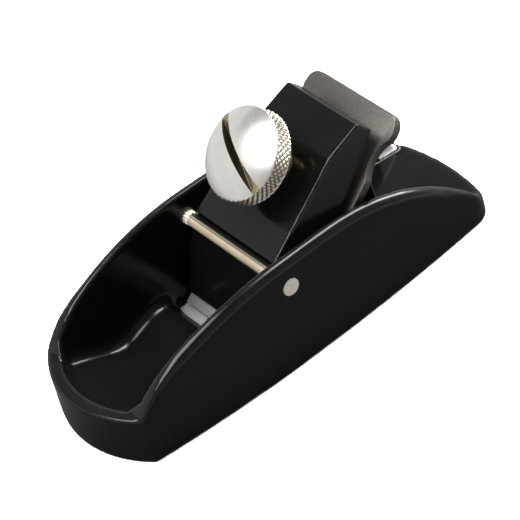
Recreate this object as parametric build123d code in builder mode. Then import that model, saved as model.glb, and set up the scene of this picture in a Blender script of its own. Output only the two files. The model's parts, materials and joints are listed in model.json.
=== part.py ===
"""A small trimming plane for one hand: die-cast body, cross pin, blade, lever cap and thumbscrew.

Millimetres. +X points forward to the toe, +Y to the plane's left, +Z up.
The origin is the middle of the sole, and the sole is flat on z = 0.
"""
import os
from math import cos, radians, sin, sqrt, tan

from build123d import *

os.makedirs("parts", exist_ok=True)

# ---- driving dimensions -------------------------------------------------------------------
BLADE_WIDTH = 25.0                  # width of the cutting edge
LENGTH = 82.5                       # toe to heel along the sole
WALL = 2.3                          # cheek thickness
MAX_HALF_WIDTH = BLADE_WIDTH / 2 + WALL + 0.55
WIDEST_X = 7.5                      # station where the barrel-shaped sides are widest
BED_ANGLE = 39.0                    # blade to sole, degrees
PIN_HEAD_DIA = 3.175                # the cross pin has a 1/8 inch head

# ---- plan of the body ---------------------------------------------------------------------
TOE_X = LENGTH / 2
HEEL_X = -LENGTH / 2
TOE_CORNER = (36.15, 13.8)          # crisp corner between a side and the rounded toe
HEEL_CORNER = (-39.5, 12.5)         # the same at the heel, before it is rounded off
HEEL_CORNER_R = 4.0
TOE_WALL = 2.7
TOE_SAGITTA = TOE_X - TOE_CORNER[0]
TOE_R = (TOE_CORNER[1] ** 2 + TOE_SAGITTA ** 2) / (2 * TOE_SAGITTA)

# ---- heights ------------------------------------------------------------------------------
CHEEK_TOP = (3.5, 21.75)            # highest point of the arched cheeks (x, z)
FRONT_RIM = [(20.05, 19.35), (29.45, 15.6)]                     # cheek's rim on its way to the toe
REAR_RIM = [(-13.05, 20.85), (-24.85, 16.35), (-33.15, 10.2)]   # and to the heel
HEEL_RIM_X = -39.1                  # where the rear rim comes down to the floor
TOE_RIM_Z = 9.6
HEEL_FLOOR_Z = 3.7                  # floor behind the bed, and its edge at the heel
INNER_CORNER_R = 2.0                # upright corners between the toe wall and the cheeks
FLOOR_R = 2.4                       # fillet between the front floor and the cheeks

# ---- mouth and bed ------------------------------------------------------------------------
EDGE_X = 9.25                       # cutting edge, retracted a little above the sole
EDGE_Z = 1.0
BLADE_T = 1.6
MOUTH_FRONT_X = 10.95
MOUTH_LIP_Z = 0.4                   # upright lip in front of the blade
HUMP_FOOT = (12.85, 2.9)            # end of the straight ramp that rises from the lip
HUMP = (14.4, 3.6)                  # crest of the floor in front of the mouth
SCOOP_LOW = (23.0, 1.8)             # lowest point of the finger scoop
SCOOP_RISE = (31.2, 4.7)
TOE_FLOOR_Z = 8.3                   # where the scoop meets the toe wall
BED_FOOT_Z = 0.8                    # lower end of the bed, behind the mouth
BED_TOP_S = 36.0                    # length of the bed up the blade
BED_HALF_WIDTH = 9.2                # bed pedestal at its top
BED_DRAFT = 4.0                     # casting draft on the pedestal, degrees
BED_EDGE = 1.2                      # thickness of the bed's rear edge

# ---- blade --------------------------------------------------------------------------------
BLADE_LENGTH = 46.2
BEVEL_ANGLE = 25.0
NECK_S = 34.5                       # where the side scallop starts
SCALLOP_MID = (38.1, 10.05)
HEAD_S = 42.2                       # where the scallop ends and the head starts
HEAD_HALF_WIDTH = 11.75
HEAD_TIP_HALF_WIDTH = 11.25
NECK_HALF_WIDTH = 11.35
HEAD_CORNER_R = 2.4
SCALLOP_BLEND_R = 1.5

# ---- cross pin, in the blade's own directions (s up the blade, d square off its face) -----
PIN_S = 14.1
PIN_D = 8.54
PIN_SHAFT_DIA = 2.4
PIN_SPLINE_DIA = 2.6                # splined end, pressed into the right cheek
PIN_SPLINE_SHOWING = 1.2            # its length inside the cheek's face
PIN_SPLINES = 12
PIN_SPLINE_DEPTH = 0.2
PIN_RUNNING_GAP = 0.05
PIN_SUNK = 0.02                     # end faces below the cheeks' outsides

# ---- lever cap, in the blade's directions -------------------------------------------------
NOSE_S = 2.0
NOSE_T = 0.8
PIN_BOSS = (-1.5, 1.1)              # flat under the pin, from behind to in front of it
PIN_BOSS_DROP = 0.55                # flat below the pin's middle
FACE_FOOT = (15.9, 10.06)           # lower edge of the sloping front face
FACE_TOP = (35.3, 8.5)              # edge between the front face and the short top face
REAR_TOP = (42.4, 6.2)
REAR_FOOT = (42.6, 2.85)
CAP_HALF_WIDTH = 10.95              # at the lower edge of the front face
CAP_TAPER = 0.085                   # narrowing per millimetre up the blade
CAP_DRAFT = 0.174                   # narrowing per millimetre off the blade
NOSE_HALF_WIDTH = 12.2

# ---- thumbscrew ---------------------------------------------------------------------------
SCREW_TILT = 41.8                   # axis to the vertical, degrees
SCREW_TIP_S = 30.4
SCREW_TIP_GAP = 1.0                 # tip to blade in the slackened rest position
HEAD_RIM_D = 17.9                   # top edge of the knurled rim, along the axis from the blade
HEAD_DIA = 16.4
RIM_HEIGHT = 3.3
DOME_HEIGHT = 2.4
SLOT_WIDTH = 1.5
SLOT_ANGLE = 30.0                   # slot turned from straight across the plane, degrees
THREAD_DIA = 6.0
THREAD_RUNNING_GAP = 0.05
COLLAR_DIA = 9.0
COLLAR_HEIGHT = 1.2
TIP_CHAMFER = 0.8
HEAD_CHAMFER = 0.3
DOME_INSET = 0.05                   # dome's foot inside the rim

bed_rad = radians(BED_ANGLE)
LEFT_SIDE = Plane.XZ.offset(-MAX_HALF_WIDTH - 1)   # side views are drawn here and pushed across
BLADE_FACE = Plane(
    origin=(EDGE_X, 0, EDGE_Z),
    x_dir=(-cos(bed_rad), 0, sin(bed_rad)),
    z_dir=(sin(bed_rad), 0, cos(bed_rad)),
)


def on_blade(s, d, y=0.0):
    """The point s up the blade, d off its face and y to the left."""
    x = EDGE_X - s * cos(bed_rad) + d * sin(bed_rad)
    z = EDGE_Z + s * sin(bed_rad) + d * cos(bed_rad)
    return (x, y, z)


def section(s, d):
    """The same point in the side view, as (x, z)."""
    x, _, z = on_blade(s, d)
    return (x, z)


def side_arc(x_end, half_width_end, inset, direction):
    """One barrel-shaped side, from its widest point to the corner at x_end."""
    start = (WIDEST_X, MAX_HALF_WIDTH - inset)
    return TangentArc(start, (x_end, half_width_end - inset), tangent=(direction, 0))


def half_width_at(x):
    """Half width of the body's barrel-shaped plan at station x."""
    corner = TOE_CORNER if x > WIDEST_X else HEEL_CORNER
    share = (x - WIDEST_X) / (corner[0] - WIDEST_X)
    return MAX_HALF_WIDTH - (MAX_HALF_WIDTH - corner[1]) * share ** 2


# ---- body ---------------------------------------------------------------------------------
# the bay between the cheeks, taken out of the body below
inner_toe_r = TOE_R - TOE_WALL
inner_corner_y = TOE_CORNER[1] - WALL
inner_corner_x = TOE_X - TOE_R + sqrt(inner_toe_r ** 2 - inner_corner_y ** 2)
open_end_x = HEEL_X - 10.0
sky = CHEEK_TOP[1] + 5.0
across = 2 * MAX_HALF_WIDTH + 2      # push that carries a side view right through
bed_line = section(0, -BLADE_T)
bed_meets_floor_x = bed_line[0] - (HEEL_FLOOR_Z - bed_line[1]) / tan(bed_rad)
bed_foot_x = bed_line[0] - (BED_FOOT_Z - bed_line[1]) / tan(bed_rad)

with BuildPart() as bay:
    with BuildSketch(Plane.XY.offset(-1)):
        with BuildLine():
            front = side_arc(inner_corner_x, inner_corner_y + WALL, WALL, 1)
            toe = ThreePointArc(front @ 1, (TOE_X - TOE_WALL, 0), (inner_corner_x, -inner_corner_y))
            rear = side_arc(HEEL_CORNER[0], HEEL_CORNER[1], WALL, -1)
            end = Line(rear @ 1, (open_end_x, HEEL_CORNER[1] - WALL))
            mirror(front, about=Plane.XZ)
            mirror(rear, about=Plane.XZ)
            mirror(end, about=Plane.XZ)
            Line((open_end_x, HEEL_CORNER[1] - WALL), (open_end_x, WALL - HEEL_CORNER[1]))
        make_face()
    extrude(amount=sky + 1)
    with BuildSketch(LEFT_SIDE):
        with BuildLine():
            Polyline(
                (TOE_X, sky),
                (open_end_x, sky),
                (open_end_x, HEEL_FLOOR_Z),
                (bed_meets_floor_x, HEEL_FLOOR_Z),
                (bed_foot_x, BED_FOOT_Z),
                (bed_foot_x, -1),
                (MOUTH_FRONT_X, -1),
                (MOUTH_FRONT_X, MOUTH_LIP_Z),
                HUMP_FOOT,
            )
            Spline(
                HUMP_FOOT,
                HUMP,
                SCOOP_LOW,
                SCOOP_RISE,
                (TOE_X - TOE_WALL, TOE_FLOOR_Z),
                (TOE_X, TOE_FLOOR_Z + 0.2),
                tangents=[(HUMP_FOOT[0] - MOUTH_FRONT_X, HUMP_FOOT[1] - MOUTH_LIP_Z), (1, 0.1)],
            )
            Line((TOE_X, TOE_FLOOR_Z + 0.2), (TOE_X, sky))
        make_face()
    extrude(amount=across, mode=Mode.INTERSECT)
    inner_corners = [e for e in bay.edges().filter_by(Axis.Z) if e.center().X > HUMP[0]]
    fillet(inner_corners, INNER_CORNER_R)
    scoop = bay.faces().filter_by(GeomType.EXTRUSION).sort_by(Axis.Z)[0]
    foot = [e for e in scoop.edges() if e.center().X > HUMP_FOOT[0] + 0.5]
    foot += [
        e
        for e in bay.edges()
        if MOUTH_FRONT_X < e.center().X < HUMP_FOOT[0] and abs(e.center().Y) > 5 and e.center().Z > 0.5
    ]
    fillet(foot, FLOOR_R)

# the bed pedestal: bed in front, drafted flanks and back
with BuildPart() as pedestal:
    with BuildSketch(Plane.XY):
        drift = CHEEK_TOP[1] * tan(radians(BED_DRAFT))
        back_x = section(BED_TOP_S, -BLADE_T)[0] - drift
        with Locations((back_x, 0)):
            Rectangle(WIDEST_X * 2 - back_x, 2 * (BED_HALF_WIDTH + drift), align=(Align.MIN, Align.CENTER))
    extrude(amount=sky, taper=BED_DRAFT)
    with BuildSketch(LEFT_SIDE):
        with BuildLine():
            Polyline(
                (bed_foot_x, 0.5),
                (bed_foot_x, BED_FOOT_Z),
                section(BED_TOP_S, -BLADE_T),
                section(BED_TOP_S, -BLADE_T - BED_EDGE),
                (back_x, section(BED_TOP_S, -BLADE_T - BED_EDGE)[1]),
                (back_x, 0.5),
                close=True,
            )
        make_face()
    extrude(amount=across, mode=Mode.INTERSECT)

with BuildPart() as body:
    with BuildSketch(Plane.XY):
        with BuildLine():
            front = side_arc(TOE_CORNER[0], TOE_CORNER[1], 0, 1)
            rear = side_arc(HEEL_CORNER[0], HEEL_CORNER[1], 0, -1)
            mirror(front, about=Plane.XZ)
            mirror(rear, about=Plane.XZ)
            ThreePointArc(front @ 1, (TOE_X, 0), (TOE_CORNER[0], -TOE_CORNER[1]))
            heel = ThreePointArc(rear @ 1, (HEEL_X, 0), (HEEL_CORNER[0], -HEEL_CORNER[1]))
        outline = make_face()
        fillet(outline.vertices().sort_by(Axis.X)[:2], HEEL_CORNER_R)
    extrude(amount=sky)
    with BuildSketch(LEFT_SIDE):
        with BuildLine():
            Spline(CHEEK_TOP, *FRONT_RIM, (TOE_CORNER[0], TOE_RIM_Z), tangents=[(1, 0), (0.55, -0.83)])
            Spline(CHEEK_TOP, *REAR_RIM, (HEEL_RIM_X, HEEL_FLOOR_Z), tangents=[(-1, 0), (-0.6, -0.8)])
            Polyline(
                (TOE_CORNER[0], TOE_RIM_Z),
                (TOE_X + 1, TOE_RIM_Z),
                (TOE_X + 1, 0),
                (HEEL_X - 1, 0),
                (HEEL_X - 1, HEEL_FLOOR_Z),
                (HEEL_RIM_X, HEEL_FLOOR_Z),
            )
        make_face()
    extrude(amount=across, mode=Mode.INTERSECT)
    add(bay.part, mode=Mode.SUBTRACT)
    add(pedestal.part)
    for side, diameter in ((1, PIN_HEAD_DIA), (-1, PIN_SPLINE_DIA)):
        with Locations(Plane(origin=on_blade(PIN_S, PIN_D), z_dir=(0, side, 0))):
            pin_hole = (Align.CENTER, Align.CENTER, Align.MIN)
            Cylinder(diameter / 2, MAX_HALF_WIDTH + 1, align=pin_hole, mode=Mode.SUBTRACT)

body.part.label = "body"
export_step(body.part, "parts/body.step")

# ---- cross pin ----------------------------------------------------------------------------
pin_x, _, pin_z = on_blade(PIN_S, PIN_D)
pin_half_length = half_width_at(pin_x) - PIN_SUNK

with BuildPart() as cross_pin:
    with Locations(Location((pin_x, 0, pin_z), (90, 0, 0))):
        Cylinder(PIN_SHAFT_DIA / 2, 2 * pin_half_length)
    for side, length, diameter in (
        (1, WALL, PIN_HEAD_DIA),
        (-1, WALL + PIN_SPLINE_SHOWING, PIN_SPLINE_DIA),
    ):
        middle = side * (pin_half_length - length / 2)
        with Locations(Location((pin_x, middle, pin_z), (90, 0, 0))):
            Cylinder(diameter / 2, length)
    spline_end = Plane(origin=(pin_x, WALL + PIN_SPLINE_SHOWING - pin_half_length, pin_z), z_dir=(0, 1, 0))
    with BuildSketch(spline_end):
        with PolarLocations(PIN_SPLINE_DIA / 2, PIN_SPLINES):
            Circle(PIN_SPLINE_DEPTH)
    extrude(amount=-PIN_SPLINE_SHOWING - WALL / 2, mode=Mode.SUBTRACT)

cross_pin.part.label = "cross_pin"
export_step(cross_pin.part, "parts/cross_pin.step")

# ---- blade --------------------------------------------------------------------------------
bevel_length = BLADE_T / tan(radians(BEVEL_ANGLE))
head_start = (HEAD_S, HEAD_HALF_WIDTH - 0.15)
head_widest = (HEAD_S + 1.2, HEAD_HALF_WIDTH)
head_end = (BLADE_LENGTH, HEAD_TIP_HALF_WIDTH)

with BuildPart() as blade:
    with BuildSketch(BLADE_FACE):
        with BuildLine():
            edge = Line((0, -BLADE_WIDTH / 2), (0, BLADE_WIDTH / 2))
            flank = Line(edge @ 1, (NECK_S, NECK_HALF_WIDTH))
            scallop = ThreePointArc(flank @ 1, SCALLOP_MID, head_start)
            crown = Polyline(scallop @ 1, head_widest, head_end)
            mirror(flank, about=Plane.XZ)
            mirror(scallop, about=Plane.XZ)
            mirror(crown, about=Plane.XZ)
            Line(crown @ 1, (head_end[0], -head_end[1]))
        make_face()
    extrude(amount=-BLADE_T)
    corners = blade.edges().filter_by(Axis((0, 0, 0), BLADE_FACE.z_dir)).sort_by(Axis.Z)
    fillet(corners[-2:], HEAD_CORNER_R)
    corners = blade.edges().filter_by(Axis((0, 0, 0), BLADE_FACE.z_dir)).sort_by(Axis.Z)
    fillet(corners[2:4], SCALLOP_BLEND_R)
    with BuildSketch(LEFT_SIDE):
        Polygon(
            section(0, 0),
            section(bevel_length, -BLADE_T),
            section(-1, -BLADE_T),
            section(-1, 0),
            align=None,
        )
    extrude(amount=across, mode=Mode.SUBTRACT)

blade.part.label = "blade"
export_step(blade.part, "parts/blade.step")

# ---- lever cap ----------------------------------------------------------------------------
def cap_half_width(s, d):
    """Half width of the cap, whose flanks lean in going up and away from the blade."""
    return CAP_HALF_WIDTH - CAP_TAPER * (s - FACE_FOOT[0]) - CAP_DRAFT * (d - FACE_FOOT[1])


screw_rad = radians(SCREW_TILT)
SCREW = Plane(
    origin=on_blade(SCREW_TIP_S, 0),
    x_dir=(cos(screw_rad), 0, -sin(screw_rad)),
    z_dir=(sin(screw_rad), 0, cos(screw_rad)),
)

with BuildPart() as lever_cap:
    for d in (-1, FACE_FOOT[1] + 1):
        with BuildSketch(BLADE_FACE.offset(d)):
            low = cap_half_width(0, d)
            high = cap_half_width(REAR_FOOT[0] + 2, d)
            Polygon((0, -low), (REAR_FOOT[0] + 2, -high), (REAR_FOOT[0] + 2, high), (0, low), align=None)
    loft()
    with BuildSketch(LEFT_SIDE):
        Polygon(
            section(NOSE_S, 0),
            section(NOSE_S, NOSE_T),
            section(PIN_S + PIN_BOSS[0], PIN_D - PIN_BOSS_DROP),
            section(PIN_S + PIN_BOSS[1], PIN_D - PIN_BOSS_DROP),
            section(*FACE_FOOT),
            section(*FACE_TOP),
            section(*REAR_TOP),
            section(*REAR_FOOT),
            align=None,
        )
    extrude(amount=across, mode=Mode.INTERSECT)
    Box(200, 2 * NOSE_HALF_WIDTH, 200, mode=Mode.INTERSECT)
    with Locations(Location((pin_x, 0, pin_z), (90, 0, 0))):
        Cylinder(PIN_SHAFT_DIA / 2 + PIN_RUNNING_GAP, 2 * NOSE_HALF_WIDTH, mode=Mode.SUBTRACT)
    with Locations(SCREW):
        Cylinder(THREAD_DIA / 2 + THREAD_RUNNING_GAP, 40, mode=Mode.SUBTRACT)

lever_cap.part.label = "lever_cap"
export_step(lever_cap.part, "parts/lever_cap.step")

# ---- thumbscrew ---------------------------------------------------------------------------
head_r = HEAD_DIA / 2
dome_foot_r = head_r - DOME_INSET

with BuildPart() as thumbscrew:
    with BuildSketch(Plane(origin=SCREW.origin, x_dir=SCREW.x_dir, z_dir=(0, -1, 0))):
        with BuildLine():
            under = HEAD_RIM_D - RIM_HEIGHT
            top = HEAD_RIM_D + DOME_HEIGHT
            outline = Polyline(
                (0, top),
                (0, SCREW_TIP_GAP),
                (THREAD_DIA / 2 - TIP_CHAMFER, SCREW_TIP_GAP),
                (THREAD_DIA / 2, SCREW_TIP_GAP + TIP_CHAMFER),
                (THREAD_DIA / 2, under - COLLAR_HEIGHT),
                (COLLAR_DIA / 2, under - COLLAR_HEIGHT),
                (COLLAR_DIA / 2, under),
                (head_r - HEAD_CHAMFER, under),
                (head_r, under + HEAD_CHAMFER),
                (head_r, HEAD_RIM_D - DOME_INSET),
                (dome_foot_r, HEAD_RIM_D),
            )
            dome_r = (dome_foot_r ** 2 + DOME_HEIGHT ** 2) / (2 * DOME_HEIGHT)
            half_turn = radians(15)
            dome_mid = (dome_r * sin(half_turn), top - dome_r * (1 - cos(half_turn)))
            ThreePointArc(outline @ 1, dome_mid, (0, top))
        make_face()
    revolve(axis=Axis(SCREW.origin, SCREW.z_dir))
    with Locations(SCREW.offset(HEAD_RIM_D)):
        Box(
            2 * HEAD_DIA,
            SLOT_WIDTH,
            2 * DOME_HEIGHT,
            rotation=(0, 0, 90 - SLOT_ANGLE),
            align=(Align.CENTER, Align.CENTER, Align.MIN),
            mode=Mode.SUBTRACT,
        )

thumbscrew.part.label = "thumbscrew"
export_step(thumbscrew.part, "parts/thumbscrew.step")
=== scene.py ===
"""Looks of a small one-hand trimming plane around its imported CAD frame. Metres, +X to the toe, +Z up."""
import json
import math

import bmesh
import bpy
import numpy as np
from mathutils import Matrix, Vector


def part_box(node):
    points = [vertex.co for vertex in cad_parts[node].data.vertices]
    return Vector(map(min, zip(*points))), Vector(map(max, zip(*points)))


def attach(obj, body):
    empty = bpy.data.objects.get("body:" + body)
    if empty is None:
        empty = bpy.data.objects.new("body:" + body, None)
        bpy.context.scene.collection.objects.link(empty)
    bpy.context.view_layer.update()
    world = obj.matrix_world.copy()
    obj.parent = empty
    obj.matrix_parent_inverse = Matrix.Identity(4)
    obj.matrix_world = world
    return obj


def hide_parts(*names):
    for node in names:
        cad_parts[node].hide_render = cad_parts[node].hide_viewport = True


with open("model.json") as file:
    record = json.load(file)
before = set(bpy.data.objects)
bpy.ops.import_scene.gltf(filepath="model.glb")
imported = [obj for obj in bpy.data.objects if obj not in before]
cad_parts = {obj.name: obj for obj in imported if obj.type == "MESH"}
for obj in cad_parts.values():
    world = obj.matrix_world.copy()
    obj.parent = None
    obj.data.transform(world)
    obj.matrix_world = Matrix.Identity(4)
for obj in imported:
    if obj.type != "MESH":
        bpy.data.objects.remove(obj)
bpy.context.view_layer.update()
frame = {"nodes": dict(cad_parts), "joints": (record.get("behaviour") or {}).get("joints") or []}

MM = 0.001
WELD_DISTANCE = 0.002 * MM

# ---- places, all read from the frame -------------------------------------------------------
JOINTS = {j["name"]: j for j in frame["joints"]}
BODY_LOW, BODY_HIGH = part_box("body")
BLADE_LOW, BLADE_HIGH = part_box("blade")
PIN_LOW, PIN_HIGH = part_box("cross_pin")
SCREW_POINT = Vector(JOINTS["thumbscrew_turn"]["pos_m"])
SCREW_AXIS = Vector(JOINTS["thumbscrew_turn"]["axis"]).normalized()
BLADE_UP = Vector(JOINTS["blade_slide"]["axis"]).normalized()
BLADE_EDGE = Vector((BLADE_HIGH.x, 0, BLADE_LOW.z))

# ---- thumbscrew, in millimetres -------------------------------------------------------------
SLOT_TURN = math.radians(60)        # the slot's direction about the screw's axis, at rest
SLOT_WIDTH = 1.5
DOME_HEIGHT = 2.4
RIM_HEIGHT = 3.3

# ---- die castings, in millimetres: sizes that the frame doesn't give by name ----------------
BODY_VOXEL = 0.3
CAP_VOXEL = 0.2
BODY_ROUNDING = 8                   # smoothing passes that soften the casting's edges
CAP_ROUNDING = 5
WALL = 2.3                          # cheek thickness
RIM_RADIUS = 1.9                    # outer edge of the cheeks' rims
EDGE_RADIUS = 0.45                  # the other edges of the rims
SOLE_RADIUS = 0.3
TOE_RADIUS = 21.22                  # plan of the toe's outside, which starts TOE_DEPTH behind its tip
TOE_DEPTH = 5.1
TOE_WALL = 2.7
TOE_RIM_Z = 9.6
LANDS_LENGTH = 6.9                  # bare lands inside the cheeks, from the heel
LAND_LIFT = 1.1                     # tilts the lands' shading up, so that they catch the light from above

# ---- camera, fitted to the viewing angle of the reference -----------------------------------
CAMERA_AZIMUTH = 152.146
CAMERA_ELEVATION = 40.365
CAMERA_ROLL = 16.351
CAMERA_PLACE = (203.58, 385.7, 381.8)    # millimetres
CAMERA_LENS = 234.49
CAMERA_SENSOR = 36.0

# ---- light ----------------------------------------------------------------------------------
SWEEP_TOP = (33, 40)                # degrees above the horizon between which the sweep fades into the room
SWEEP_RADIANCE = 0.95
ROOM_RADIANCE = 0.3
CAMERA_SIDE_SHARE = 0.45            # share of the sweep's and the room's light on the camera's side
SOFTBOX = (0.40, -0.08, 0.91)       # direction of the overhead softbox
SOFTBOX_SPREAD = (25, 12)           # degrees from that direction to its edge, and to its full brightness
SOFTBOX_RADIANCE = 10.0
STRIP = (-0.21, 0.97, -0.10)        # square to the strip light, which runs from overhead to behind the heel
STRIP_WIDTH = (0.10, 0.20)          # sines of its half width, at full brightness and at its edge
STRIP_RADIANCE = 20.0


# ---- node helpers ---------------------------------------------------------------------------
class Shader:
    """A material's node tree, with short calls to add nodes and to join them."""

    def __init__(self, name):
        self.material = bpy.data.materials.new(name)
        self.material.use_nodes = True
        self.tree = self.material.node_tree
        self.surface = self.tree.nodes["Principled BSDF"]
        self.place = self.node("ShaderNodeTexCoord").outputs["Object"]

    def node(self, kind, **settings):
        made = self.tree.nodes.new(kind)
        for key, value in settings.items():
            setattr(made, key, value)
        return made

    def feed(self, socket, value):
        if isinstance(value, bpy.types.NodeSocket):
            self.tree.links.new(value, socket)
        elif isinstance(value, (tuple, list)) and len(value) == 3 and socket.type == "RGBA":
            socket.default_value = (*value, 1)
        else:
            socket.default_value = value

    def math(self, operation, *values):
        made = self.node("ShaderNodeMath", operation=operation)
        for socket, value in zip(made.inputs, values):
            self.feed(socket, value)
        return made.outputs[0]

    def vector(self, operation, *values):
        made = self.node("ShaderNodeVectorMath", operation=operation)
        for socket, value in zip(made.inputs, values):
            self.feed(socket, value)
        return made.outputs["Value"] if operation in ("DOT_PRODUCT", "LENGTH") else made.outputs[0]

    def along(self, direction, origin=(0, 0, 0)):
        """Distance of the shaded point from origin, along direction, in millimetres."""
        offset = self.vector("SUBTRACT", self.place, tuple(origin))
        scaled = self.vector("MULTIPLY", offset, (1 / MM,) * 3)
        return self.vector("DOT_PRODUCT", scaled, tuple(direction))

    def step(self, value, start, end):
        """0 below start, 1 above end, and smooth between them."""
        made = self.node("ShaderNodeMapRange", interpolation_type="SMOOTHSTEP")
        self.feed(made.inputs["Value"], value)
        self.feed(made.inputs["From Min"], start)
        self.feed(made.inputs["From Max"], end)
        return made.outputs[0]

    def noise(self, scale_per_mm, detail=3.0, roughness=0.55, stretch=(1, 1, 1)):
        """Noise of the given number of waves per millimetre, pulled along the axes by stretch."""
        scaled = self.vector("MULTIPLY", self.place, tuple(scale_per_mm / MM / s for s in stretch))
        made = self.node("ShaderNodeTexNoise", noise_type="FBM")
        self.feed(made.inputs["Vector"], scaled)
        self.feed(made.inputs["Scale"], 1.0)
        self.feed(made.inputs["Detail"], detail)
        self.feed(made.inputs["Roughness"], roughness)
        return made.outputs[0]

    def spread(self, value, low, high):
        """Maps 0.3..0.7 of a noise to low..high."""
        made = self.node("ShaderNodeMapRange")
        self.feed(made.inputs["Value"], value)
        for name, bound in (("From Min", 0.3), ("From Max", 0.7), ("To Min", low), ("To Max", high)):
            self.feed(made.inputs[name], bound)
        return made.outputs[0]

    def mix(self, share, first, second):
        """A colour that goes from first to second as share goes from 0 to 1."""
        made = self.node("ShaderNodeMix", data_type="RGBA")
        self.feed(made.inputs["Factor"], share)
        self.feed(made.inputs[6], first)
        self.feed(made.inputs[7], second)
        return made.outputs[2]

    def blend(self, share, first, second):
        """The same for a plain number."""
        made = self.node("ShaderNodeMix", data_type="FLOAT")
        self.feed(made.inputs[0], share)
        self.feed(made.inputs[2], first)
        self.feed(made.inputs[3], second)
        return made.outputs[0]

    def bump(self, height, depth_mm, normal=None):
        made = self.node("ShaderNodeBump")
        self.feed(made.inputs["Height"], height)
        self.feed(made.inputs["Distance"], depth_mm * MM)
        self.feed(made.inputs["Strength"], 1.0)
        if normal is not None:
            self.feed(made.inputs["Normal"], normal)
        return made.outputs[0]

    def rounded(self, radius_mm):
        made = self.node("ShaderNodeBevel", samples=6)
        self.feed(made.inputs["Radius"], radius_mm * MM)
        return made.outputs[0]

    def set(self, **values):
        names = {
            "color": "Base Color",
            "roughness": "Roughness",
            "metallic": "Metallic",
            "ior": "IOR",
            "normal": "Normal",
        }
        for key, value in values.items():
            self.feed(self.surface.inputs[names[key]], value)
        return self.material


# ---- materials ------------------------------------------------------------------------------
def black_enamel(name, bare=None):
    """Glossy black enamel on a casting: slight orange peel, fine grain, uneven gloss."""
    m = Shader(name)
    peel = m.noise(0.55, detail=2.0)
    grain = m.noise(6.0, detail=2.0)
    cloud = m.noise(0.09, detail=2.0)
    color = m.mix(m.spread(cloud, 0.0, 1.0), (0.0036, 0.0038, 0.0038), (0.0052, 0.0052, 0.0051))
    unevenness = m.math("ADD", m.math("MULTIPLY", cloud, 0.6), m.math("MULTIPLY", grain, 0.4))
    roughness = m.spread(unevenness, 0.11, 0.19)
    height = m.math("ADD", peel, m.math("MULTIPLY", grain, 0.12))
    normal = m.bump(height, 0.004)
    if bare is not None:
        share, land, bare_color, bare_roughness = bare(m)
        color = m.mix(share, color, bare_color)
        roughness = m.blend(share, roughness, bare_roughness)
        lifted = m.vector("SCALE", (0, 0, LAND_LIFT))
        m.feed(lifted.node.inputs["Scale"], land)
        normal = m.vector("NORMALIZE", m.vector("ADD", normal, lifted))
    return m.set(color=color, roughness=roughness, ior=1.34, normal=normal)


def bare_zones(m):
    """Where the body's metal is bare, on its sole and on lands inside the heel, and how it looks there."""
    lands_front = BODY_LOW.x / MM + LANDS_LENGTH
    blur = 0.06
    sole_depth = 0.012
    x = m.along((1, 0, 0))
    y = m.along((0, 1, 0))
    z = m.along((0, 0, 1))
    facing = m.node("ShaderNodeNewGeometry").outputs["True Normal"]
    inward = m.math("MULTIPLY", m.vector("DOT_PRODUCT", facing, (0, -1, 0)), m.math("SIGN", y))
    on_inner_face = m.step(inward, 0.72, 0.88)
    at_heel = m.step(x, lands_front + blur, lands_front - blur)
    land = m.math("MULTIPLY", on_inner_face, at_heel)
    sole = m.step(z, sole_depth, 0.0)
    share = m.math("MAXIMUM", land, sole)
    lines = m.noise(2.5, detail=3.0, stretch=(0.4, 12.0, 1.0))
    color = m.mix(m.spread(lines, 0.0, 1.0), (0.80, 0.76, 0.78), (0.92, 0.88, 0.90))
    return share, land, color, m.spread(lines, 0.42, 0.55)


def blade_steel():
    """Tool steel plate: a dull, speckled face, and a strip of fresh, ground steel along the cutting edge."""
    m = Shader("blade_steel")
    strip = 1.9                     # its length up the blade
    blur = 0.05
    speck = m.noise(3.2, detail=4.0, roughness=0.7)
    cloud = m.noise(0.18, detail=2.0)
    up = m.along(BLADE_UP, BLADE_EDGE)
    ground = m.step(up, strip + blur, strip - blur)
    lines = m.noise(2.0, detail=4.0, stretch=(10.0, 0.25, 10.0))
    plate = m.mix(m.spread(speck, 0.0, 1.0), (0.080, 0.073, 0.066), (0.150, 0.139, 0.128))
    plate = m.mix(m.spread(cloud, 0.0, 0.35), plate, (0.11, 0.102, 0.094))
    fresh = m.mix(m.spread(lines, 0.0, 1.0), (0.26, 0.26, 0.265), (0.38, 0.38, 0.385))
    color = m.mix(ground, plate, fresh)
    roughness = m.blend(ground, m.spread(speck, 0.40, 0.52), 0.45)
    height = m.math("ADD", m.math("MULTIPLY", speck, 0.7), m.math("MULTIPLY", lines, 0.5))
    metallic = m.blend(ground, 0.9, 0.35)
    normal = m.bump(height, 0.005, m.rounded(0.12))
    return m.set(color=color, roughness=roughness, metallic=metallic, normal=normal)


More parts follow.
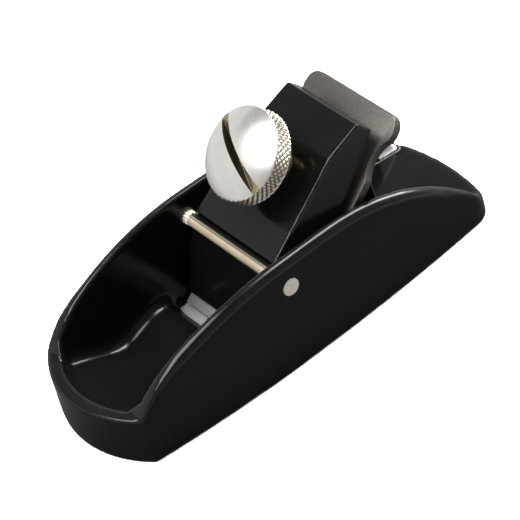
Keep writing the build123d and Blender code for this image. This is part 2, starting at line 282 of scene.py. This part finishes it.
def pin_steel():
    """Drawn steel pin, pale yellow, with painted reflection bands round its middle: grey on top, black at the
    back where it mirrors the dark lever cap.
    """
    m = Shader("pin_steel")
    left_cheek = PIN_HIGH.y / MM
    right_cheek = PIN_LOW.y / MM
    rings = m.noise(3.0, detail=3.0, stretch=(4.0, 0.3, 4.0))
    cloud = m.noise(0.5, detail=3.0)
    middle = (PIN_LOW + PIN_HIGH) / 2
    turn = m.math("ARCTAN2", m.along((0, 0, 1), middle), m.along((1, 0, 0), middle))
    side = m.along((0, 1, 0))
    past_head = m.step(side, left_cheek - 0.3, left_cheek - 1.5)
    before_splines = m.step(side, right_cheek + 3.2, right_cheek + 3.6)
    middle_part = m.math("MULTIPLY", past_head, before_splines)
    # painted reflections, set by the angle round the pin: a grey band on top and a black band at the back,
    # where the pin mirrors the dark lever cap
    grey = m.math("MULTIPLY", m.step(turn, math.radians(57), math.radians(60)), middle_part)
    black = m.math("MULTIPLY", m.step(turn, math.radians(80), math.radians(86)), middle_part)
    color = m.mix(m.spread(cloud, 0.0, 1.0), (0.42, 0.36, 0.25), (0.50, 0.43, 0.30))
    color = m.mix(middle_part, (0.86, 0.79, 0.69), color)
    # the painted grey and black reflection bands go over the pale yellow
    color = m.mix(grey, color, (0.17, 0.15, 0.12))
    color = m.mix(black, color, (0.006, 0.006, 0.005))
    roughness = m.spread(rings, 0.42, 0.52)
    normal = m.bump(rings, 0.002, m.rounded(0.08))
    return m.set(color=color, roughness=roughness, metallic=0.08, normal=normal)


def nickel():
    """Satin nickel: faint rings on the dome, and painted shade: darker, browner knurl grooves, a near-black
    slot with a golden painted reflection on its floor, and a dark brown collar and shank under the rim.
    """
    m = Shader("nickel")
    ring_pitch = 0.16
    rim_top = SCREW_TOP - DOME_HEIGHT
    rim_foot = rim_top - RIM_HEIGHT
    height = m.along(SCREW_AXIS, SCREW_POINT)
    away = off_axis(m, height)
    rings = m.math("SINE", m.math("MULTIPLY", away, 2 * math.pi / ring_pitch))
    cloud = m.noise(0.6, detail=3.0)
    # this noise varies the roughness and the relief, and mottles the painted shade below
    texture_and_shade_noise = m.noise(2.2, detail=4.0)
    painted_shade_mottle = m.spread(texture_and_shade_noise, 0.0, 1.0)
    plate = m.mix(m.spread(cloud, 0.0, 1.0), (0.64, 0.625, 0.595), (0.69, 0.675, 0.645))
    in_rim = m.step(height, rim_top - 0.05, rim_top - 0.15)
    crest = m.step(away, SCREW_RADIUS - 0.30, SCREW_RADIUS - 0.05)
    # painted shade: the knurl's grooves are coloured darker and browner than its crests
    groove_shade_color = m.mix(painted_shade_mottle, (0.20, 0.17, 0.12), (0.42, 0.37, 0.28))
    color = m.mix(in_rim, plate, m.mix(crest, groove_shade_color, (0.82, 0.77, 0.69)))
    # painted shade under the head: the collar and shank below the rim are coloured dark brown
    under_rim = m.step(height, rim_foot - 0.02, rim_foot - 0.06)
    color = m.mix(under_rim, color, m.mix(painted_shade_mottle, (0.16, 0.12, 0.065), (0.32, 0.26, 0.16)))
    across = m.math("ABSOLUTE", m.along(slot_side(), SCREW_POINT))
    between_walls = m.step(across, SLOT_WIDTH / 2 + 0.05, SLOT_WIDTH / 2 + 0.02)
    in_slot = m.math("MULTIPLY", between_walls, m.step(height, rim_top - 0.1, rim_top))
    slot_floor = m.step(height, rim_top + 0.08, rim_top + 0.02)
    # painted shade and reflection in the slot: near-black walls, and a golden brown floor that stands in for
    # warm reflections
    slot_floor_shade_color = m.mix(painted_shade_mottle, (0.20, 0.16, 0.08), (0.42, 0.36, 0.22))
    color = m.mix(in_slot, color, m.mix(slot_floor, (0.016, 0.012, 0.006), slot_floor_shade_color))
    # the slot's walls lose their metal so that they stay dark, as painted shade
    wall = m.math("MULTIPLY", in_slot, m.math("SUBTRACT", 1.0, slot_floor))
    metallic = m.math("SUBTRACT", 1.0, wall)
    roughness = m.math("ADD", m.spread(texture_and_shade_noise, 0.28, 0.34), m.math("MULTIPLY", rings, 0.01))
    relief = m.math("ADD", m.math("MULTIPLY", rings, 0.5), m.math("MULTIPLY", texture_and_shade_noise, 0.6))
    normal = m.bump(relief, 0.0012, m.rounded(0.08))
    return m.set(color=color, roughness=roughness, metallic=metallic, ior=1.1, normal=normal)


def off_axis(m, height):
    """Distance of the shaded point from the thumbscrew's axis, in millimetres, given its height along it."""
    offset = m.vector("SUBTRACT", m.place, tuple(SCREW_POINT))
    along_axis = m.math("MULTIPLY", height, MM)
    square = m.vector("DOT_PRODUCT", offset, offset)
    square = m.math("SUBTRACT", square, m.math("MULTIPLY", along_axis, along_axis))
    return m.math("DIVIDE", m.math("SQRT", m.math("MAXIMUM", square, 0.0)), MM)


# ---- mesh helpers ---------------------------------------------------------------------------
def put(name, mesh, body, material, slot, *replaced):
    """Puts a finished mesh into the scene as a piece that rides on a CAD body."""
    piece = bpy.data.objects.new(name, mesh)
    bpy.context.scene.collection.objects.link(piece)
    mesh.materials.clear()
    mesh.materials.append(material)
    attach(piece, body)
    if replaced:
        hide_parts(*replaced)
    return piece


def applied(mesh, *modifiers):
    """The mesh after these modifiers, each given as (kind, settings)."""
    holder = bpy.data.objects.new("holder", mesh)
    bpy.context.scene.collection.objects.link(holder)
    for kind, settings in modifiers:
        modifier = holder.modifiers.new(kind, kind)
        for key, value in settings.items():
            setattr(modifier, key, value)
    bpy.context.view_layer.update()
    shown = holder.evaluated_get(bpy.context.evaluated_depsgraph_get())
    result = bpy.data.meshes.new_from_object(shown)
    bpy.data.objects.remove(holder)
    return result


def neighbour_means(mesh):
    """Returns a function that gives, for each vertex, the mean of its neighbours' values."""
    edges = np.zeros(2 * len(mesh.edges), int)
    mesh.edges.foreach_get("vertices", edges)
    a, b = edges.reshape(-1, 2).T
    count = np.bincount(edges, minlength=len(mesh.vertices))

    def mean(values):
        total = np.empty_like(values)
        for k in range(3):
            total[:, k] = np.bincount(a, values[b, k], len(values))
            total[:, k] += np.bincount(b, values[a, k], len(values))
        return total / count[:, None]

    return mean


def soft_casting(node, voxel, passes, prepare):
    """A casting with the CAD node's shape and rounded edges, from a voxel mesh.

    prepare(points) returns the points to start from, and how much smoothing may move each along x, y and z.
    """
    pull = 0.6
    welded = applied(frame["nodes"][node].data.copy(), ("WELD", {"merge_threshold": WELD_DISTANCE}))
    mesh = applied(welded, ("REMESH", {"mode": "VOXEL", "voxel_size": voxel * MM}))
    places = np.zeros(3 * len(mesh.vertices))
    mesh.vertices.foreach_get("co", places)
    points, freedom = prepare(places.reshape(-1, 3))
    mean = neighbour_means(mesh)
    for _ in range(passes):
        points = points + pull * freedom * (mean(points) - points)
    mesh.vertices.foreach_set("co", points.ravel())
    mesh.update()
    mesh.shade_smooth()
    return mesh


def highest_along(x, values, where=None):
    """The highest of values around each x, or around each place in where, all in millimetres."""
    bin_width = 0.5
    start = x.min()
    bins = ((x - start) / bin_width).astype(int)
    peak = np.full(bins.max() + 1, values.min())
    np.maximum.at(peak, bins, values)
    smooth = np.convolve(np.pad(peak, 1, mode="edge"), np.ones(3) / 3, "valid")
    centres = start + (np.arange(len(peak)) + 0.5) * bin_width
    return np.interp(x if where is None else where, centres, smooth)


def round_corner(inside, below, radius):
    """Rounds the corner of two faces: takes each point's depth under both and returns the new depths."""
    across = radius - inside
    down = radius - below
    near = (across > 0) & (down > 0)
    reach = np.where(near, np.hypot(across, down), 1.0)
    scale = np.where(near, radius / reach, 1.0)
    return radius - across * scale, radius - down * scale


def prepare_body(points):
    """Rounds the outer edge of the cheeks' rims and the edge of the sole, then leaves the rest to smoothing.

    A point's depth is measured from the wall's outside (inside) and square to the rim (below).
    """
    heel_keep = 3.0                 # the rims' and the sole's edges stay sharp this near the heel
    sole_keep = 5.0
    fade_to_toe = 10.0              # lengths over which the rims' rounding grows
    fade_to_heel = 7.0
    cheek_slack = 0.4               # past the wall's thickness, to reach its inner edge
    edge_slack = 0.3
    station_step = 0.5
    x, y, z = (points / MM).T
    tip = BODY_HIGH.x / MM
    toe_start = tip - TOE_DEPTH
    from_heel = x - BODY_LOW.x / MM

    # depth inside the outer face, which is round in plan at the toe
    from_centre = np.hypot(x - tip + TOE_RADIUS, y)
    in_toe = TOE_RADIUS - from_centre
    in_side = highest_along(x, np.abs(y)) - np.abs(y)
    at_toe = (x > toe_start) & (in_toe < in_side)
    in_cheek = in_side < WALL + cheek_slack
    inside = np.where(at_toe, in_toe, in_side)
    wall = np.where(at_toe, TOE_WALL, WALL)

    # depth below the rim, which slopes along the cheeks
    cheek_z = np.where(in_cheek, z, 0.0)
    rim = np.where(at_toe, TOE_RIM_Z, highest_along(x, cheek_z))
    stations = np.arange(x.min(), x.max(), station_step)
    slope = np.interp(x, stations, np.gradient(highest_along(x, cheek_z, stations), stations))
    slope = np.where(at_toe, 0.0, slope)
    lean = 1 / np.hypot(1, slope)
    below = (rim - z) * lean

    # new depths
    open_rim = at_toe | (in_cheek & (from_heel > heel_keep))
    at_sole = (from_heel > sole_keep) & (inside < wall)
    taper = np.minimum((toe_start - x) / fade_to_toe, (from_heel - heel_keep) / fade_to_heel)
    outer_radius = np.where(open_rim, np.maximum(EDGE_RADIUS, RIM_RADIUS * np.clip(taper, 0.0, 1.0)), 0.0)
    inner_radius = np.where(open_rim & (inside < wall + edge_slack), EDGE_RADIUS, 0.0)
    sole_radius = np.where(at_sole, SOLE_RADIUS, 0.0)
    new_inside, new_below = round_corner(inside, below, outer_radius)
    from_inner, new_below = round_corner(wall - new_inside, new_below, inner_radius)
    new_inside, new_z = round_corner(wall - from_inner, z, sole_radius)

    # the changes of depth, carried back to x, y and z
    drop = np.where(open_rim, new_below - below, 0.0)
    draw_in = np.where(open_rim | at_sole, new_inside - inside, 0.0)
    lift = np.where(at_sole, new_z - z, 0.0)
    out_x = np.where(at_toe, (x - tip + TOE_RADIUS) / from_centre, 0.0)
    out_y = np.where(at_toe, y / from_centre, np.sign(y))
    shift_x = drop * slope * lean - draw_in * out_x
    shift_y = -draw_in * out_y
    shift_z = lift - drop * lean
    return points + np.stack([shift_x, shift_y, shift_z], axis=1) * MM, body_freedom(x, z)


def body_freedom(x, z):
    """How far smoothing may move the body's points: hardly at the mouth and the pin, and not off the sole."""
    held = 0.06
    mouth_reach = 4.5
    mouth_top = 2.2
    pin_reach = 2.6
    sole_top = 0.05
    pin = (PIN_LOW + PIN_HIGH) / 2 / MM
    near_mouth = (np.abs(x - BLADE_HIGH.x / MM) < mouth_reach) & (z < mouth_top)
    near_pin = np.hypot(x - pin.x, z - pin.z) < pin_reach
    amount = np.where(near_mouth | near_pin, held, 1.0)
    freedom = np.repeat(amount[:, None], 3, axis=1)
    freedom[z < sole_top, 2] = 0.0
    return freedom


def prepare_cap(points):
    """The lever cap's points as they are, all free to move."""
    return points, np.ones_like(points)


# ---- thumbscrew -----------------------------------------------------------------------------
def triangle_wave(t):
    """0 at whole numbers, 1 halfway between them."""
    return 1 - abs(2 * (t % 1) - 1)


def screw_frame():
    """Local x, y and z of the thumbscrew at rest: z along its axis, y across the plane."""
    y = Vector((0, 1, 0))
    return y.cross(SCREW_AXIS), y, SCREW_AXIS


def slot_side():
    """Direction square to the slot's walls."""
    x, y, _ = screw_frame()
    return -math.sin(SLOT_TURN) * x + math.cos(SLOT_TURN) * y


def turned(profile, steps, radius_change):
    """A closed solid of revolution about local z from profile points (radius, height), both in millimetres.

    radius_change(angle, radius, height) is added to the radius, which makes knurls and threads.
    """
    mesh = bmesh.new()
    rings = []
    for radius, height in profile:
        ring = []
        for i in range(steps):
            angle = 2 * math.pi * i / steps
            r = radius + radius_change(angle, radius, height)
            ring.append(mesh.verts.new((r * math.cos(angle) * MM, r * math.sin(angle) * MM, height * MM)))
        rings.append(ring)
    for low, high in zip(rings, rings[1:]):
        for i in range(steps):
            j = (i + 1) % steps
            mesh.faces.new((low[i], low[j], high[j], high[i]))
    for ring in (rings[0], rings[-1]):
        hub = mesh.verts.new((0, 0, ring[0].co.z))
        for i in range(steps):
            mesh.faces.new((hub, ring[i], ring[(i + 1) % steps]))
    bmesh.ops.recalc_face_normals(mesh, faces=mesh.faces)
    result = bpy.data.meshes.new("turned")
    mesh.to_mesh(result)
    mesh.free()
    return result


def placed_on_screw(mesh):
    """Moves a mesh from local z to the screw's axis, whose local zero is the joint's point."""
    turn = Matrix(screw_frame()).transposed().to_4x4()
    mesh.transform(Matrix.Translation(SCREW_POINT) @ turn)
    return mesh


def screw_sizes():
    """Tip, dome top and outer radius of the CAD thumbscrew in millimetres, along and off its axis."""
    offsets = [v.co - SCREW_POINT for v in frame["nodes"]["thumbscrew"].data.vertices]
    heights = [o.dot(SCREW_AXIS) / MM for o in offsets]
    radii = [(o - o.dot(SCREW_AXIS) * SCREW_AXIS).length / MM for o in offsets]
    return min(heights), max(heights), max(radii)


SCREW_TIP, SCREW_TOP, SCREW_RADIUS = screw_sizes()


def screw_head(material):
    """Knurled rim and domed face with a driver slot."""
    rim_top = SCREW_TOP - DOME_HEIGHT
    rim_foot = rim_top - RIM_HEIGHT
    knurls = 46
    knurl_depth = 0.34
    knurl_pitch = 1.1
    fade_length = 0.3               # over which the knurl runs out at both edges of the rim
    rim_rows = 44
    dome_rows = 24
    steps_per_knurl = 12
    foot_chamfer = 0.3
    hub_radius = 0.25
    dome_foot = SCREW_RADIUS - 0.04
    dome_radius = (dome_foot ** 2 + DOME_HEIGHT ** 2) / (2 * DOME_HEIGHT)
    reach = math.asin(dome_foot / dome_radius)

    def knurl(angle, radius, height):
        if radius < SCREW_RADIUS - 0.01 or not rim_foot < height < rim_top:
            return 0.0
        turns = angle / (2 * math.pi) * knurls
        rise = (height - rim_foot) / knurl_pitch
        fade = min(1.0, (height - rim_foot) / fade_length, (rim_top - height) / fade_length)
        groove = max(1 - triangle_wave(turns + rise), 1 - triangle_wave(turns - rise))
        return -knurl_depth * fade * groove ** 1.5

    profile = [(hub_radius, rim_foot), (SCREW_RADIUS - foot_chamfer, rim_foot)]
    for i in range(1, rim_rows):
        profile.append((SCREW_RADIUS, rim_foot + RIM_HEIGHT * i / rim_rows))
    profile.append((SCREW_RADIUS, rim_top - 0.03))
    for i in range(dome_rows):
        a = reach * (1 - i / dome_rows)
        profile.append((dome_radius * math.sin(a), SCREW_TOP - dome_radius * (1 - math.cos(a))))
    profile.append((0.05, SCREW_TOP))
    mesh = turned(profile, knurls * steps_per_knurl, knurl)
    slot_size = (2.4 * SCREW_RADIUS, SLOT_WIDTH, 2 * DOME_HEIGHT)
    cut = carved(mesh, box_mesh(slot_size, (0, 0, rim_top + DOME_HEIGHT), SLOT_TURN))
    shade_turned(cut, 35)
    return put("thumbscrew_head", placed_on_screw(cut), "thumbscrew", material, "nickel", "thumbscrew")


def shade_turned(mesh, sharp_degrees):
    """Smooth shading, broken at edges sharper than this."""
    mesh.shade_smooth()
    mesh.set_sharp_from_angle(angle=math.radians(sharp_degrees))


def box_mesh(size, middle, turn):
    """A box of this size in millimetres, turned about z."""
    mesh = bmesh.new()
    bmesh.ops.create_cube(mesh, size=1.0)
    bmesh.ops.scale(mesh, vec=Vector(size) * MM, verts=mesh.verts)
    bmesh.ops.rotate(mesh, matrix=Matrix.Rotation(turn, 3, "Z"), verts=mesh.verts)
    bmesh.ops.translate(mesh, vec=Vector(middle) * MM, verts=mesh.verts)
    result = bpy.data.meshes.new("box")
    mesh.to_mesh(result)
    mesh.free()
    return result


def carved(mesh, cutter_mesh):
    """The mesh with the cutter taken out of it."""
    cutter = bpy.data.objects.new("cutter", cutter_mesh)
    bpy.context.scene.collection.objects.link(cutter)
    result = applied(mesh, ("BOOLEAN", {"operation": "DIFFERENCE", "object": cutter, "solver": "EXACT"}))
    bpy.data.objects.remove(cutter)
    return result


def screw_shank(material):
    """Collar and threaded shank, joined under the head."""
    tip = SCREW_TIP
    rim_foot = SCREW_TOP - DOME_HEIGHT - RIM_HEIGHT
    collar_top = rim_foot - 0.02    # a hair below the rim, so that no faces coincide
    collar_foot = rim_foot - 1.2
    collar_radius = 4.5
    collar_chamfer = 0.15
    hub_radius = 0.3
    thread_radius = 3.0
    thread_depth = 0.55
    pitch = 1.0
    rows_per_turn = 14
    steps = 72
    point = 0.8                     # length of the tapered tip, and how far it tapers
    point_taper = 0.64
    relief = 0.8                    # plain stretch under the collar
    run_out = 0.5

    def thread(angle, radius, height):
        if abs(radius - thread_radius) > 1e-6:
            return 0.0
        start = min(1.0, max(0.0, (height - tip) / point))
        end = min(1.0, max(0.0, (collar_foot - relief - height) / run_out))
        phase = height / pitch - angle / (2 * math.pi)
        flank = min(1.0, max(0.0, 1.25 * (1 - triangle_wave(phase)) - 0.12))     # flat at crest and root
        return -thread_depth * flank * end - point_taper * (1 - start)

    rows = int((collar_foot - tip) / pitch * rows_per_turn)
    profile = [(hub_radius, tip)]
    for i in range(rows + 1):
        profile.append((thread_radius, tip + (collar_foot - tip) * i / rows))
    profile += [(collar_radius - collar_chamfer, collar_foot), (collar_radius, collar_foot + collar_chamfer)]
    profile += [(collar_radius, collar_top), (hub_radius, collar_top)]
    mesh = turned(profile, steps, thread)
    shade_turned(mesh, 40)
    return put("thumbscrew_shank", placed_on_screw(mesh), "thumbscrew", material, "nickel")


# ---- carried-over CAD pieces ----------------------------------------------------------------
def finish_node(node, material, edge_mm):
    """Gives a CAD node its material and small rounded edges."""
    piece = frame["nodes"][node]
    piece.data.materials.clear()
    piece.data.materials.append(material)
    weld = piece.modifiers.new("weld", "WELD")
    weld.merge_threshold = WELD_DISTANCE
    plane = piece.modifiers.new("plane", "DECIMATE")
    plane.decimate_type = "DISSOLVE"
    plane.angle_limit = math.radians(1.0)
    bevel = piece.modifiers.new("bevel", "BEVEL")
    bevel.width = edge_mm * MM
    bevel.segments = 2
    bevel.limit_method = "ANGLE"
    bevel.angle_limit = math.radians(35)
    return piece


# ---- studio ---------------------------------------------------------------------------------
def make_floor():
    """A pale floor: overexposed for the camera except for a painted shadow round the mouth, painted darker
    round the tool where it only lights it, clear from below.
    """
    half = 6.0
    drop = 0.02 * MM                # how far it lies under the sole
    mouth = (BLADE_HIGH.x, 0, 0)
    mouth_reach = (13 * MM, 16 * MM)      # painted shadow round the mouth: it is less bright there, even for the camera
    tool_reach = (50 * MM, 140 * MM)      # painted shade round the tool: it gives off less light there
    mesh = bpy.data.meshes.new("studio_floor")
    corners = [(-half, -half, 0), (half, -half, 0), (half, half, 0), (-half, half, 0)]
    mesh.from_pydata(corners, [], [(0, 1, 2, 3)])
    floor = bpy.data.objects.new("studio_floor", mesh)
    floor.location.z = BODY_LOW.z - drop
    bpy.context.scene.collection.objects.link(floor)
    m = Shader("studio_floor")
    seen = m.node("ShaderNodeLightPath").outputs["Is Camera Ray"]
    past_mouth = m.step(m.vector("LENGTH", m.vector("SUBTRACT", m.place, mouth)), *mouth_reach)
    bright = m.node("ShaderNodeBsdfDiffuse")
    # painted shadow round the mouth, which the camera sees through it
    m.feed(bright.inputs["Color"], m.mix(past_mouth, (0.35, 0.354, 0.342), (1.3, 1.3, 1.3)))
    past_tool = m.step(m.vector("LENGTH", m.place), *tool_reach)
    dim = m.node("ShaderNodeBsdfDiffuse")
    # painted shade round the tool, seen only in the tool's reflections and in bounced light
    m.feed(dim.inputs["Color"], m.mix(past_tool, (0.10, 0.10, 0.10), (0.36, 0.36, 0.355)))
    chosen = m.node("ShaderNodeMixShader")
    m.feed(chosen.inputs[0], seen)
    m.tree.links.new(dim.outputs[0], chosen.inputs[1])
    m.tree.links.new(bright.outputs[0], chosen.inputs[2])
    clear = m.node("ShaderNodeBsdfTransparent")
    from_below = m.node("ShaderNodeMixShader")
    m.feed(from_below.inputs[0], m.node("ShaderNodeNewGeometry").outputs["Backfacing"])
    m.tree.links.new(chosen.outputs[0], from_below.inputs[1])
    m.tree.links.new(clear.outputs[0], from_below.inputs[2])
    output = m.tree.nodes["Material Output"]
    m.tree.links.new(from_below.outputs[0], output.inputs["Surface"])
    mesh.materials.append(m.material)


def make_world():
    """Plain studio: a white sweep all round, a dimmer room above it, a softbox overhead and a strip light."""
    world = bpy.data.worlds.new("studio")
    bpy.context.scene.world = world
    world.use_nodes = True
    tree = world.node_tree
    background = tree.nodes["Background"]
    direction = tree.nodes.new("ShaderNodeTexCoord").outputs["Generated"]

    def facing(axis, start, end, low, high):
        """Goes from low to high as the cosine of a direction's angle to axis goes from start to end."""
        dot = tree.nodes.new("ShaderNodeVectorMath")
        dot.operation = "DOT_PRODUCT"
        dot.inputs[1].default_value = Vector(axis).normalized()
        tree.links.new(direction, dot.inputs[0])
        level = tree.nodes.new("ShaderNodeMapRange")
        level.interpolation_type = "SMOOTHSTEP"
        for name, value in (("From Min", start), ("From Max", end), ("To Min", low), ("To Max", high)):
            level.inputs[name].default_value = value
        tree.links.new(dot.outputs["Value"], level.inputs["Value"])
        return level.outputs[0]

    def joined(operation, first, second):
        made = tree.nodes.new("ShaderNodeMath")
        made.operation = operation
        tree.links.new(first, made.inputs[0])
        tree.links.new(second, made.inputs[1])
        return made.outputs[0]

    sweep_low, sweep_high = (math.sin(math.radians(v)) for v in SWEEP_TOP)
    box_edge, box_full = (math.cos(math.radians(v)) for v in SOFTBOX_SPREAD)
    strip_full, strip_edge = STRIP_WIDTH
    sweep = facing((0, 0, 1), sweep_low, sweep_high, SWEEP_RADIANCE, ROOM_RADIANCE)
    camera_side = facing((0.1, 1, 0), -0.2, 0.5, 1.0, CAMERA_SIDE_SHARE)
    softbox = facing(SOFTBOX, box_edge, box_full, 0.0, SOFTBOX_RADIANCE)
    strip_left = facing(STRIP, -strip_edge, -strip_full, 0.0, 1.0)
    strip_right = facing(STRIP, strip_full, strip_edge, 1.0, 0.0)
    behind_heel = facing((-1, 0, 0), 0.1, 0.4, 0.0, STRIP_RADIANCE)
    above_sweep = facing((0, 0, 1), 0.2, 0.35, 0.0, 1.0)
    strip = joined("MULTIPLY", strip_left, strip_right)
    strip = joined("MULTIPLY", strip, joined("MULTIPLY", behind_heel, above_sweep))
    strength = joined("ADD", joined("MULTIPLY", sweep, camera_side), softbox)
    strength = joined("ADD", strength, strip)
    background.inputs["Color"].default_value = (1.0, 0.995, 0.985, 1)
    tree.links.new(strength, background.inputs["Strength"])


def make_camera():
    azimuth, elevation, roll = (math.radians(v) for v in (CAMERA_AZIMUTH, CAMERA_ELEVATION, CAMERA_ROLL))
    level = math.cos(elevation)
    back = Vector((math.sin(azimuth) * level, -math.cos(azimuth) * level, math.sin(elevation)))
    right = Vector((0, 0, 1)).cross(back).normalized()
    up = back.cross(right)
    rolled_right = math.cos(roll) * right - math.sin(roll) * up
    rolled_up = math.sin(roll) * right + math.cos(roll) * up
    turn = Matrix((rolled_right, rolled_up, back)).transposed().to_4x4()
    data = bpy.data.cameras.new("camera")
    data.lens = CAMERA_LENS
    data.sensor_width = CAMERA_SENSOR
    data.clip_start = 0.01
    data.clip_end = 50.0
    camera = bpy.data.objects.new("camera", data)
    camera.matrix_world = Matrix.Translation(Vector(CAMERA_PLACE) * MM) @ turn
    bpy.context.scene.collection.objects.link(camera)
    bpy.context.scene.camera = camera


def main():
    enamel_body = black_enamel("enamel_body", bare_zones)
    enamel_cap = black_enamel("enamel_cap")
    plate = nickel()
    body = soft_casting("body", BODY_VOXEL, BODY_ROUNDING, prepare_body)
    put("body_casting", body, "body", enamel_body, "black_enamel", "body")
    cap = soft_casting("lever_cap", CAP_VOXEL, CAP_ROUNDING, prepare_cap)
    put("lever_cap_casting", cap, "lever_cap", enamel_cap, "black_enamel", "lever_cap")
    finish_node("blade", blade_steel(), edge_mm=0.1)
    finish_node("cross_pin", pin_steel(), edge_mm=0.04)
    screw_head(plate)
    screw_shank(plate)
    make_floor()
    make_world()
    make_camera()
    bpy.context.scene.view_settings.view_transform = "Standard"


main()
